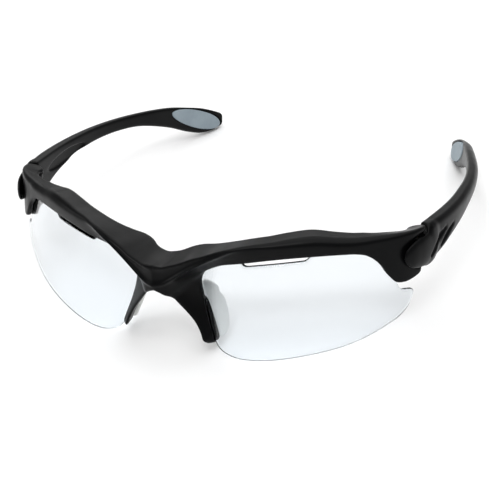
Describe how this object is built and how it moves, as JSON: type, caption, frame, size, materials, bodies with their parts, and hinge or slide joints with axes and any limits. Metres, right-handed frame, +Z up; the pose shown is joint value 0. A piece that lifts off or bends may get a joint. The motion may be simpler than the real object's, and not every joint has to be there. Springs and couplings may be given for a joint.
{
  "type": "sports protective goggles",
  "caption": "Half-rim wraparound sports safety glasses with clear separate lenses, soft nose pads and folding temples.",
  "frame": {"origin": "on the table under the middle of the open goggles, which stand on their lens edges and temple tips", "axes": "+X to the wearer's left, +Y from the lenses towards the ears, +Z up; the goggles are mirror images about X = 0 apart from their fold limits"},
  "size_m": [0.1564, 0.1576, 0.0409],
  "materials": {
    "frame_nylon": "satin black injection-moulded nylon with a fine matt texture",
    "temple_nylon": "satin black injection-moulded nylon, slightly flexible",
    "lens_clear": "clear hard-coated polycarbonate with a faint blue-grey cast",
    "nose_silicone": "clear frosted silicone",
    "tip_rubber": "blue-grey soft rubber with a matt skin",
    "screw_steel": "plated steel",
    "insert_brass": "turned brass"
  },
  "bodies": {
    "front": {"frame_front": "frame_nylon", "lens_left": "lens_clear", "lens_right": "lens_clear", "nose_pad_left": "nose_silicone", "nose_pad_right": "nose_silicone", "hinge_screw_left": "screw_steel", "hinge_screw_right": "screw_steel", "hinge_insert_left": "insert_brass", "hinge_insert_right": "insert_brass"},
    "temple_left": {"temple_left": "temple_nylon", "temple_tip_pad_left": "tip_rubber"},
    "temple_right": {"temple_right": "temple_nylon", "temple_tip_pad_right": "tip_rubber"}
  },
  "joints": [
    {"name": "temple_left_fold", "type": "hinge", "parent": "front", "child": "temple_left", "pos_m": [0.0703, -0.03837, 0.02925], "axis": [0, 0.23, 0.9732], "range_deg": [0, 84]},
    {"name": "temple_right_fold", "type": "hinge", "parent": "front", "child": "temple_right", "pos_m": [-0.0703, -0.03837, 0.02925], "axis": [0, -0.23, -0.9732], "range_deg": [0, 76]}
  ]
}
